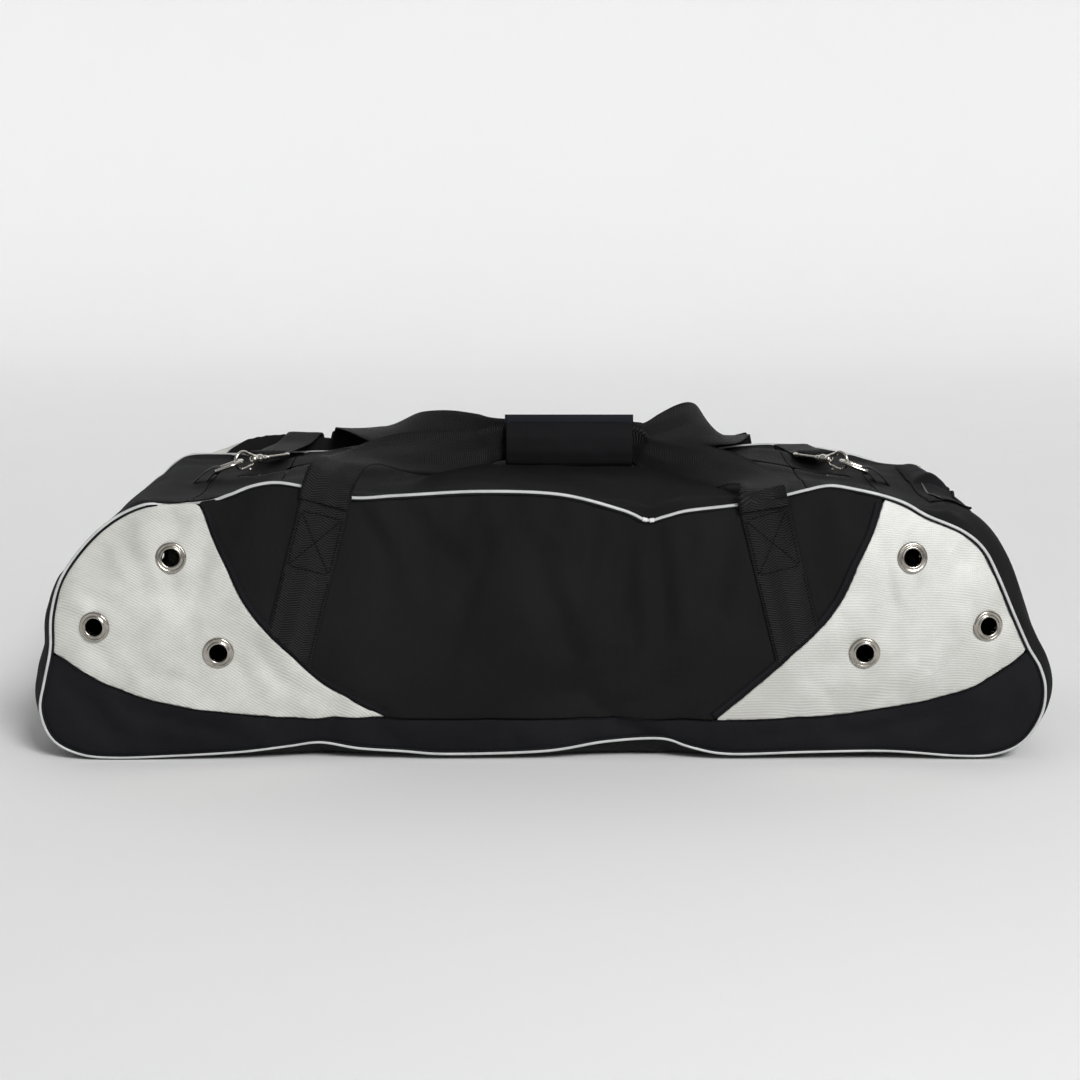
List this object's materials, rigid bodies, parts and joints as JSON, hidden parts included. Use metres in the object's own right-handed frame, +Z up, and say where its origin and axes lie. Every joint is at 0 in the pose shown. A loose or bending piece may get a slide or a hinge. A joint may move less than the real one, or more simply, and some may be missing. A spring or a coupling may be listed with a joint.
{
  "type": "hockey equipment bag",
  "caption": "Long soft equipment bag with rounded ends, a zipped top, webbing carry handles in a padded wrap, a clip-on shoulder strap and ventilated light end panels.",
  "frame": {"origin": "middle of the base on the surface that the bag stands on", "axes": "+X along the bag to its right end, +Y to the back, +Z up"},
  "size_m": [1.01, 0.4424, 0.3292],
  "materials": {
    "black_fabric": "coated plain-weave polyester, dull black",
    "silver_fabric": "coated ribbed polyester, satin silver",
    "black_webbing": "herringbone polypropylene webbing",
    "wrap_fabric": "padded, quilted black polyester",
    "piping": "reflective grey vinyl piping",
    "zip_tape": "woven tape with nylon coil",
    "nickel_metal": "polished nickel plate"
  },
  "bodies": {
    "root": {"front_centre_panel": "black_fabric", "front_silver_panel_left": "silver_fabric", "front_silver_panel_right": "silver_fabric", "front_base_band": "black_fabric", "back_centre_panel": "black_fabric", "back_silver_panel_left": "silver_fabric", "back_silver_panel_right": "silver_fabric", "back_base_band": "black_fabric", "bottom_panel": "black_fabric", "end_gusset_left": "black_fabric", "end_gusset_right": "black_fabric", "top_end_panel_left": "black_fabric", "top_end_panel_right": "black_fabric", "front_piping": "piping", "back_piping": "piping", "front_handle_leg_left": "black_webbing", "front_handle_leg_right": "black_webbing", "back_handle_leg_left": "black_webbing", "back_handle_leg_right": "black_webbing", "dring_tab_left": "black_webbing", "dring_tab_right": "black_webbing", "end_pocket_zip": "zip_tape", "front_grommet_left_1": "nickel_metal", "front_grommet_left_2": "nickel_metal", "front_grommet_left_3": "nickel_metal", "front_grommet_right_1": "nickel_metal", "front_grommet_right_2": "nickel_metal", "front_grommet_right_3": "nickel_metal", "back_grommet_left_1": "nickel_metal", "back_grommet_left_2": "nickel_metal", "back_grommet_left_3": "nickel_metal", "back_grommet_right_1": "nickel_metal", "back_grommet_right_2": "nickel_metal", "back_grommet_right_3": "nickel_metal"},
    "front_flap": {"top_front_panel": "black_fabric", "front_zip_tape": "zip_tape"},
    "back_flap": {"top_back_panel": "black_fabric", "back_zip_tape": "zip_tape"},
    "front_handle": {"front_handle_loop": "black_webbing"},
    "back_handle": {"back_handle_loop": "black_webbing", "handle_wrap": "wrap_fabric"},
    "wrap_cover": {"wrap_flap": "wrap_fabric"},
    "zip_slider_left": {"zip_slider_left": "nickel_metal"},
    "zip_slider_right": {"zip_slider_right": "nickel_metal"},
    "zip_pull_left": {"zip_pull_left": "nickel_metal"},
    "zip_pull_right": {"zip_pull_right": "nickel_metal"},
    "shoulder_strap": {"strap_webbing": "black_webbing", "shoulder_pad": "silver_fabric", "hook_left": "nickel_metal", "hook_right": "nickel_metal", "swivel_eye_left": "nickel_metal", "swivel_eye_right": "nickel_metal"},
    "strap_adjuster": {"strap_adjuster": "nickel_metal"},
    "hook_gate_left": {"hook_gate_left": "nickel_metal"},
    "hook_gate_right": {"hook_gate_right": "nickel_metal"},
    "dring_left": {"dring_left": "nickel_metal"},
    "dring_right": {"dring_right": "nickel_metal"},
    "end_pocket_slider": {"end_pocket_slider": "nickel_metal"},
    "end_pocket_pull": {"end_pocket_pull": "nickel_metal"},
    "end_pocket_flap": {"end_pocket_flap": "black_fabric"}
  },
  "joints": [
    {"name": "front_flap_hinge", "type": "hinge", "parent": "root", "child": "front_flap", "pos_m": [0, -0.1969, 0.264], "axis": [1, 0, 0], "range_deg": [0, 110]},
    {"name": "back_flap_hinge", "type": "hinge", "parent": "root", "child": "back_flap", "pos_m": [0, 0.1969, 0.264], "axis": [-1, 0, 0], "range_deg": [0, 110]},
    {"name": "front_handle_hinge", "type": "hinge", "parent": "front_flap", "child": "front_handle", "pos_m": [0, -0.1969, 0.2645], "axis": [1, 0, 0], "range_deg": [0, 100], "deforming": ["front_handle_loop"]},
    {"name": "back_handle_hinge", "type": "hinge", "parent": "back_flap", "child": "back_handle", "pos_m": [0, 0.1969, 0.2645], "axis": [-1, 0, 0], "range_deg": [0, 100], "deforming": ["back_handle_loop", "handle_wrap"]},
    {"name": "wrap_flap_hinge", "type": "hinge", "parent": "back_handle", "child": "wrap_cover", "pos_m": [0.029, -0.0438, 0.2842], "axis": [1, 0, 0], "range_deg": [0, 85], "deforming": ["wrap_flap"]},
    {"name": "zip_slide_left", "type": "slide", "parent": "front_flap", "child": "zip_slider_left", "axis": [-1, 0, 0], "range_m": [0, 0.055]},
    {"name": "zip_slide_right", "type": "slide", "parent": "front_flap", "child": "zip_slider_right", "axis": [1, 0, 0], "range_m": [0, 0.38]},
    {"name": "zip_pull_left_hinge", "type": "hinge", "parent": "zip_slider_left", "child": "zip_pull_left", "pos_m": [-0.174, -0.006, 0.2833], "axis": [0, 1, 0], "range_deg": [0, 150]},
    {"name": "zip_pull_right_hinge", "type": "hinge", "parent": "zip_slider_right", "child": "zip_pull_right", "pos_m": [-0.15, -0.006, 0.2833], "axis": [0, -1, 0], "range_deg": [0, 150]},
    {"name": "shoulder_strap_swing", "type": "hinge", "parent": "root", "child": "shoulder_strap", "pos_m": [0, 0.001, 0.2766], "axis": [1, 0, 0], "range_deg": [0, 18], "deforming": ["strap_webbing"]},
    {"name": "adjuster_slide", "type": "slide", "parent": "shoulder_strap", "child": "strap_adjuster", "axis": [0, 0, -1], "range_m": [-0.01, 0.03]},
    {"name": "hook_gate_left_hinge", "type": "hinge", "parent": "shoulder_strap", "child": "hook_gate_left", "pos_m": [-0.30873, 0.01096, 0.27158], "axis": [-0.7071, 0.7071, 0], "range_deg": [0, 12], "stiffness_Nm_per_rad": 0.02, "springref_deg": -5.73},
    {"name": "dring_left_hinge", "type": "hinge", "parent": "root", "child": "dring_left", "pos_m": [-0.346, 0, 0.267], "axis": [0, -1, 0], "range_deg": [0, 1.5]},
    {"name": "hook_gate_right_hinge", "type": "hinge", "parent": "shoulder_strap", "child": "hook_gate_right", "pos_m": [0.30873, 0.01096, 0.27158], "axis": [-0.7071, -0.7071, 0], "range_deg": [0, 12], "stiffness_Nm_per_rad": 0.02, "springref_deg": -5.73},
    {"name": "dring_right_hinge", "type": "hinge", "parent": "root", "child": "dring_right", "pos_m": [0.346, 0, 0.267], "axis": [0, 1, 0], "range_deg": [0, 1.5]},
    {"name": "end_pocket_slide", "type": "slide", "parent": "root", "child": "end_pocket_slider", "axis": [0, -1, 0], "range_m": [0, 0.225]},
    {"name": "end_pocket_pull_hinge", "type": "hinge", "parent": "end_pocket_slider", "child": "end_pocket_pull", "pos_m": [0.4181, 0.115, 0.2522], "axis": [-0.9026, 0, 0.4305], "range_deg": [0, 150]},
    {"name": "end_pocket_flap_hinge", "type": "hinge", "parent": "root", "child": "end_pocket_flap", "pos_m": [0.4024, 0, 0.2635], "axis": [0, -1, 0], "range_deg": [0, 100], "deforming": ["end_pocket_flap"]}
  ]
}
